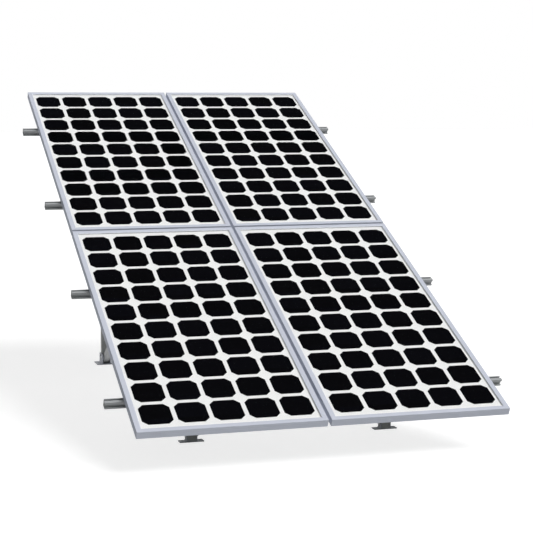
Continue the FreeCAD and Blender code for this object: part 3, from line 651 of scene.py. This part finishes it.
class RACK_OT_junction_boxes(bpy.types.Operator):
    """Rounds the junction boxes and adds lid screws, ribs and gland caps"""

    bl_idname = "rack.junction_boxes"
    bl_label = "Junction boxes"

    def execute(self, context):
        plastic = moulded("black_moulding", tuple(colours().moulding))
        edge = sizes().box_edge
        for module in MODULES:
            rounded_node(f"{module}_junction_box", edge, plastic, f"{module}_box")
        self.dress_lids(plastic)
        self.dress_glands(plastic)
        return {"FINISHED"}

    def dress_lids(self, plastic):
        """Lids with three raised ribs across and a screw at each corner."""
        screw_inset, rib_inset, rib_margin = 11 * MM, 24 * MM, 17 * MM
        turned_over = Matrix.Rotation(math.pi, 4, "X")
        lids = merged_copy("junction_box_lids")
        round_edges(lids, 0.8 * MM)
        screws = bmesh.new()
        for solid in separate_solids("junction_box_lids"):
            left, right = span(solid, 0)
            low, high = span(solid, 1)
            under = span(solid, 2)[0]
            for x in (left + screw_inset, right - screw_inset):
                for s in (low + screw_inset, high - screw_inset):
                    place = SLOPE @ Matrix.Translation((x, s, under)) @ turned_over
                    add_hexagon(screws, 6 * MM, 1.2 * MM, place, 0.3 * MM)
            for s in (low + rib_inset, (low + high) / 2, high - rib_inset):
                place = SLOPE @ Matrix.Translation(((left + right) / 2, s, under - 0.5 * MM))
                add_block(lids, (right - left - 2 * rib_margin, 2 * MM, 1 * MM), place)
        finished("box_lids", lids, plastic, ["junction_box_lids"])
        zinc = bright_zinc("lid_screw_zinc", tuple(colours().zinc))
        finished("lid_screws", screws, zinc)

    def dress_glands(self, plastic):
        """Gland nuts with a tapered cable seat at their mouth."""
        seat = 5 * MM
        shape = merged_copy("cable_glands")
        round_edges(shape, 0.6 * MM, 20)
        for solid in separate_solids("cable_glands"):
            x = sum(span(solid, 0)) / 2
            front = span(solid, 1)[0]
            above = sum(span(solid, 2)) / 2
            place = SLOPE @ Matrix.Translation((x, front, above)) @ Matrix.Rotation(math.pi / 2, 4, "X")
            bmesh.ops.create_cone(
                shape, cap_ends=True, segments=20, radius1=6 * MM, radius2=4.2 * MM, depth=seat,
                matrix=place @ Matrix.Translation((0, 0, seat / 2)),
            )
        finished("glands", shape, plastic, ["cable_glands"])


class RACK_OT_rails(bpy.types.Operator):
    """Rounds the rails' edges and gives them a mill finish"""

    bl_idname = "rack.rails"
    bl_label = "Rails"

    def execute(self, context):
        metal = extruded_metal("rail_metal", tuple(colours().extrusion), "x", 0.25, 0.45)
        edge = sizes().extrusion_edge
        for number in (1, 2, 3, 4):
            rounded_node(f"rail_{number}", edge, metal, f"rail_bar_{number}")
        return {"FINISHED"}


class RACK_OT_rafters(bpy.types.Operator):
    """Rounds the rafters' edges and gives them a mill finish"""

    bl_idname = "rack.rafters"
    bl_label = "Rafters"

    def execute(self, context):
        metal = extruded_metal("rafter_metal", tuple(colours().extrusion), "slope", 0.25, 0.45)
        edge = sizes().extrusion_edge
        for side in SIDES:
            rounded_node(f"rafter_{side}", edge, metal, f"rafter_bar_{side}")
        return {"FINISHED"}


class RACK_OT_clamps(bpy.types.Operator):
    """Rounds the clamps that hook the rails to the rafters"""

    bl_idname = "rack.clamps"
    bl_label = "Rail clamps"

    def execute(self, context):
        metal = extruded_metal("clamp_metal", tuple(colours().extrusion), "x", 0.3, 0.42)
        rounded_node("rail_clamps", sizes().extrusion_edge, metal, "clamp_hooks")
        return {"FINISHED"}


class RACK_OT_legs(bpy.types.Operator):
    """Rounds the legs and braces, and welds their cap plates on"""

    bl_idname = "rack.legs"
    bl_label = "Legs and braces"

    def execute(self, context):
        # The front legs get a darker copy of the rear legs' zinc: painted shade of the modules above them.
        front_shaded_zinc = galvanised("front_leg_shaded_zinc", tuple(colours().front_leg))
        rear_zinc = galvanised("leg_zinc", tuple(colours().rear_leg))
        brace_zinc = galvanised("brace_zinc", tuple(colours().brace))
        welds = bmesh.new()
        for side in SIDES:
            for name, material, slot, wide, lean in (
                ("front_leg", front_shaded_zinc, "leg", TUBE_DEEP, math.pi / 2),
                ("rear_leg", rear_zinc, "leg", TUBE_DEEP, math.pi / 2),
                ("brace", brace_zinc, "brace", BRACE_WIDE, BRACE_LEAN),
            ):
                node = f"{name}_{side}"
                rounded_node(node, sizes().tube_edge, material, f"{name}_tube_{side}")
                self.weld_cap(welds, node, wide, lean)
        finished("cap_welds", welds, weld_metal("weld_zinc", tuple(colours().rear_leg)))
        return {"FINISHED"}

    def weld_cap(self, shape, node, wide, lean):
        """A bead on each side of the leaning tube, where it meets the underside of its cap plate."""
        to_slope = SLOPE.inverted()
        points = [to_slope @ vert.co for vert in frame["nodes"][node].data.vertices]
        top = span(points, 2)[1]
        on_top = [point for point in points if point[2] > top - CAP_PLATE / 2]
        middle = sum(span(on_top, 1)) / 2
        x = sum(span(points, 0)) / 2
        half = TUBE_DEEP / 2 / math.sin(lean + TILT)
        corners = [
            Vector((x + across * wide / 2, middle + along * half, top - CAP_PLATE))
            for across, along in ((-1, -1), (1, -1), (1, 1), (-1, 1))
        ]
        for index in range(4):
            start, end = SLOPE @ corners[index], SLOPE @ corners[(index + 1) % 4]
            add_weld(shape, start, end, sizes().weld_radius, sizes().weld_ripple)


class RACK_OT_feet(bpy.types.Operator):
    """Rounds the edges of the feet and packing plates and gives them a galvanised finish"""

    bl_idname = "rack.feet"
    bl_label = "Feet"

    def execute(self, context):
        # The front feet get a darker zinc than the rear ones: painted shade of the modules above them.
        front_shaded_zinc = galvanised("front_foot_shaded_zinc", tuple(colours().front_foot), 0.45)
        rear_zinc = galvanised("rear_foot_zinc", tuple(colours().rear_foot), 0.45)
        for name, zinc in (("front_foot", front_shaded_zinc), ("rear_foot", rear_zinc)):
            for side in SIDES:
                rounded_node(f"{name}_{side}", 0.8 * MM, zinc, f"{name}_plate_{side}")
        rounded_node("brace_spacers", 0.6 * MM, rear_zinc, "packing_plates")
        return {"FINISHED"}


class RACK_OT_hammer_bolts(bpy.types.Operator):
    """Replaces the plain hammer bolts by bolts with chamfered nuts, washers and threads"""

    bl_idname = "rack.hammer_bolts"
    bl_label = "Hammer bolts"

    def execute(self, context):
        zinc = bright_zinc("hammer_bolt_zinc", tuple(colours().zinc))
        for node, upside_down in (("frame_bolts", False), ("clamp_bolts", False), ("cap_bolts", True)):
            shape = bmesh.new()
            for solid in separate_solids(node):
                self.add_bolt(shape, solid, upside_down)
            finished(f"{node}_fine", shape, zinc, [node])
        return {"FINISHED"}

    def add_bolt(self, shape, solid, upside_down):
        """One bolt in a plain one's place: head in the channel, square neck, washer, nut and thread."""
        head_thick = 5 * MM
        x = sum(span(solid, 0)) / 2
        s = sum(span(solid, 1)) / 2
        low, high = span(solid, 2)
        reach = high - low
        head_end = high if upside_down else low
        turn = Matrix.Rotation(math.pi if upside_down else 0, 4, "X")
        base = SLOPE @ Matrix.Translation((x, s, head_end)) @ turn
        corners = [point for point in solid if abs(point[2] - head_end) < 0.1 * MM]
        left, right = span(corners, 0)
        front, back = span(corners, 1)
        middle = base @ Matrix.Translation((0, 0, head_thick / 2))
        head = add_block(shape, (right - left, back - front, head_thick), middle)
        bevel(shape, list({edge for vert in head for edge in vert.link_edges}), 0.7 * MM)
        under_nut = reach - NUT_HIGH
        neck = under_nut - head_thick
        middle = base @ Matrix.Translation((0, 0, head_thick + neck / 2))
        add_block(shape, (BOLT_ACROSS, BOLT_ACROSS, neck), middle)
        add_nut(shape, 15 * MM, NUT_HIGH, 0.8 * MM, base @ Matrix.Translation((0, 0, under_nut)))
        tip = base @ Matrix.Translation((0, 0, reach))
        add_thread(shape, BOLT_ACROSS, THREAD_SHOWN, sizes().thread_turns, tip)


class RACK_OT_foot_bolts(bpy.types.Operator):
    """Replaces the plain foot bolts by bolts with chamfered heads, washers, nuts and threads"""

    bl_idname = "rack.foot_bolts"
    bl_label = "Foot bolts"

    def execute(self, context):
        zinc = bright_zinc("foot_bolt_zinc", tuple(colours().zinc))
        shape = bmesh.new()
        for solid in separate_solids("foot_bolts"):
            points = [SLOPE @ point for point in solid]
            left, right = span(points, 0)
            y = sum(span(points, 1)) / 2
            z = sum(span(points, 2)) / 2
            if left + right < 0:
                self.add_bolt(shape, Vector((left, y, z)), Vector((right, y, z)), -1)
            else:
                self.add_bolt(shape, Vector((right, y, z)), Vector((left, y, z)), 1)
        finished("foot_bolts_fine", shape, zinc, ["foot_bolts"])
        return {"FINISHED"}

    def add_bolt(self, shape, head_face, nut_face, side):
        """One bolt across a foot, with its head on the outer ear; side is the sign of the foot's X."""
        head_high, washer, crown = 5.3 * MM, 16 * MM, 0.9 * MM
        outward = Matrix.Rotation(side * math.pi / 2, 4, "Y")
        inward = Matrix.Rotation(-side * math.pi / 2, 4, "Y")
        outer_ear = head_face - Vector((side * head_high, 0, 0))
        inner_ear = nut_face + Vector((side * NUT_HIGH, 0, 0))
        add_nut(shape, washer, head_high, crown, Matrix.Translation(outer_ear) @ outward)
        add_nut(shape, washer, NUT_HIGH, crown, Matrix.Translation(inner_ear) @ inward)
        tip = Matrix.Translation(nut_face) @ inward
        add_thread(shape, BOLT_ACROSS, THREAD_SHOWN, sizes().thread_turns, tip)
        bmesh.ops.create_cone(
            shape, cap_ends=True, segments=24, radius1=BOLT_ACROSS / 2, radius2=BOLT_ACROSS / 2,
            depth=(outer_ear - inner_ear).length,
            matrix=Matrix.Translation((outer_ear + inner_ear) / 2) @ outward,
        )


class RACK_OT_stage(bpy.types.Operator):
    """Sets the floor, the lights, the white surroundings and the camera"""

    bl_idname = "rack.stage"
    bl_label = "Stage"

    def execute(self, context):
        scene = context.scene
        self.lay_floor(scene)
        self.hang_lights(scene)
        self.set_world(scene)
        self.place_camera(scene)
        scene.view_settings.view_transform = "Standard"
        return {"FINISHED"}

    def lay_floor(self, scene):
        """A pale floor that glows up to white for the background rays and still takes the shadow."""
        half_size, background_glow = 60, 0.72
        shape = bmesh.new()
        bmesh.ops.create_grid(shape, x_segments=1, y_segments=1, size=half_size)
        mesh = bpy.data.meshes.new("studio_floor")
        shape.to_mesh(mesh)
        shape.free()
        finish = Finish("pale_floor", 0.9, 0.0, 0.1)
        colour = tuple(colours().floor)
        cloud = finish.noise(finish.coordinates, 0.6, 2.0)
        finish.use_colour(finish.blend(cloud, shaded(colour, 0.99), colour))
        glow = finish.nodes.new("ShaderNodeMath")
        glow.operation = "MULTIPLY"
        glow.inputs[1].default_value = background_glow
        finish.links.new(self.background_rays(finish.nodes, finish.links), glow.inputs[0])
        finish.shader.inputs["Emission Color"].default_value = (1, 1, 1, 1)
        finish.links.new(glow.outputs[0], finish.shader.inputs["Emission Strength"])
        mesh.materials.append(finish.material)
        floor = bpy.data.objects.new("studio_floor", mesh)
        scene.collection.objects.link(floor)

    def background_rays(self, nodes, links):
        """1 for rays that show the surroundings: the camera's, mirrored ones and those through glass."""
        path = nodes.new("ShaderNodeLightPath")
        shown = path.outputs["Is Camera Ray"]
        for ray in ("Is Glossy Ray", "Is Transmission Ray"):
            either = nodes.new("ShaderNodeMath")
            either.operation = "MAXIMUM"
            links.new(shown, either.inputs[0])
            links.new(path.outputs[ray], either.inputs[1])
            shown = either.outputs[0]
        return shown

    def hang_lights(self, scene):
        """A soft key from above right, a weak fill from the front and a soft lamp under the slope."""
        for name, colour, energy, width, direction in (
            ("key_light", (1.0, 1.0, 1.0), 2.5, 38, (0.50, -0.36, 0.79)),
            ("fill_light", (0.94, 1.0, 0.92), 0.52, 60, (0.35, -1.0, 0.25)),
        ):
            sun = bpy.data.lights.new(name, "SUN")
            sun.color = colour
            sun.energy = energy
            sun.angle = math.radians(width)
            lamp = bpy.data.objects.new(name, sun)
            lamp.rotation_euler = Vector(direction).to_track_quat("Z", "Y").to_euler()
            scene.collection.objects.link(lamp)
        panel = bpy.data.lights.new("under_light", "AREA")
        panel.shape = "RECTANGLE"
        panel.size = 1.9
        panel.size_y = 1.8
        panel.energy = 5.5
        lamp = bpy.data.objects.new("under_light", panel)
        lamp.location = (0, 0.35, 0.004)
        lamp.rotation_euler = (math.pi, 0, 0)
        lamp.visible_camera = False
        lamp.visible_glossy = False
        scene.collection.objects.link(lamp)

    def set_world(self, scene):
        """Dim all-round light on the object, and plain white for the background rays."""
        world = bpy.data.worlds.new("studio")
        world.use_nodes = True
        nodes = world.node_tree.nodes
        links = world.node_tree.links
        fill = nodes["Background"]
        fill.inputs["Color"].default_value = (1, 1, 1, 1)
        fill.inputs["Strength"].default_value = 0.235
        white = nodes.new("ShaderNodeBackground")
        white.inputs["Color"].default_value = (1, 1, 1, 1)
        white.inputs["Strength"].default_value = 1.0
        mix = nodes.new("ShaderNodeMixShader")
        links.new(self.background_rays(nodes, links), mix.inputs[0])
        links.new(fill.outputs[0], mix.inputs[1])
        links.new(white.outputs[0], mix.inputs[2])
        links.new(mix.outputs[0], nodes["World Output"].inputs["Surface"])
        scene.world = world

    def place_camera(self, scene):
        """In front to the left, about as high as the rack's upper edge; the shift frames the rack."""
        lens = bpy.data.cameras.new("camera")
        lens.lens = sizes().lens
        lens.sensor_width = 36
        lens.shift_x = 0.0710
        lens.clip_end = 200
        camera = bpy.data.objects.new("camera", lens)
        camera.location = (-2.088, -7.216, 1.566)
        camera.rotation_euler = (math.radians(83.33), 0, math.radians(-15.99))
        scene.collection.objects.link(camera)
        scene.camera = camera


PIECES = (
    RACK_OT_module_frames,
    RACK_OT_laminates,
    RACK_OT_junction_boxes,
    RACK_OT_rails,
    RACK_OT_rafters,
    RACK_OT_clamps,
    RACK_OT_legs,
    RACK_OT_feet,
    RACK_OT_hammer_bolts,
    RACK_OT_foot_bolts,
    RACK_OT_stage,
)


class RACK_PT_dressing(bpy.types.Panel):
    """Lists the pieces of the rack with their sizes and colours"""

    bl_idname = "RACK_PT_dressing"
    bl_label = "Solar Rack"
    bl_space_type = "VIEW_3D"
    bl_region_type = "UI"
    bl_category = "Solar Rack"

    def draw(self, context):
        column = self.layout.column(align=True)
        for piece in PIECES:
            column.operator(piece.bl_idname)
        for group in (context.scene.rack_sizes, context.scene.rack_colours):
            box = self.layout.box()
            for name in group.__annotations__:
                box.prop(group, name)


def register():
    for item in (RackSizes, RackColours, *PIECES, RACK_PT_dressing):
        bpy.utils.register_class(item)
    bpy.types.Scene.rack_sizes = PointerProperty(type=RackSizes)
    bpy.types.Scene.rack_colours = PointerProperty(type=RackColours)


def unregister():
    del bpy.types.Scene.rack_colours
    del bpy.types.Scene.rack_sizes
    for item in (RACK_PT_dressing, *reversed(PIECES), RackColours, RackSizes):
        bpy.utils.unregister_class(item)


def main():
    register()
    bpy.ops.rack.module_frames()
    bpy.ops.rack.laminates()
    bpy.ops.rack.junction_boxes()
    bpy.ops.rack.rails()
    bpy.ops.rack.rafters()
    bpy.ops.rack.clamps()
    bpy.ops.rack.legs()
    bpy.ops.rack.feet()
    bpy.ops.rack.hammer_bolts()
    bpy.ops.rack.foot_bolts()
    bpy.ops.rack.stage()


if __name__ == "__main__":
    main()
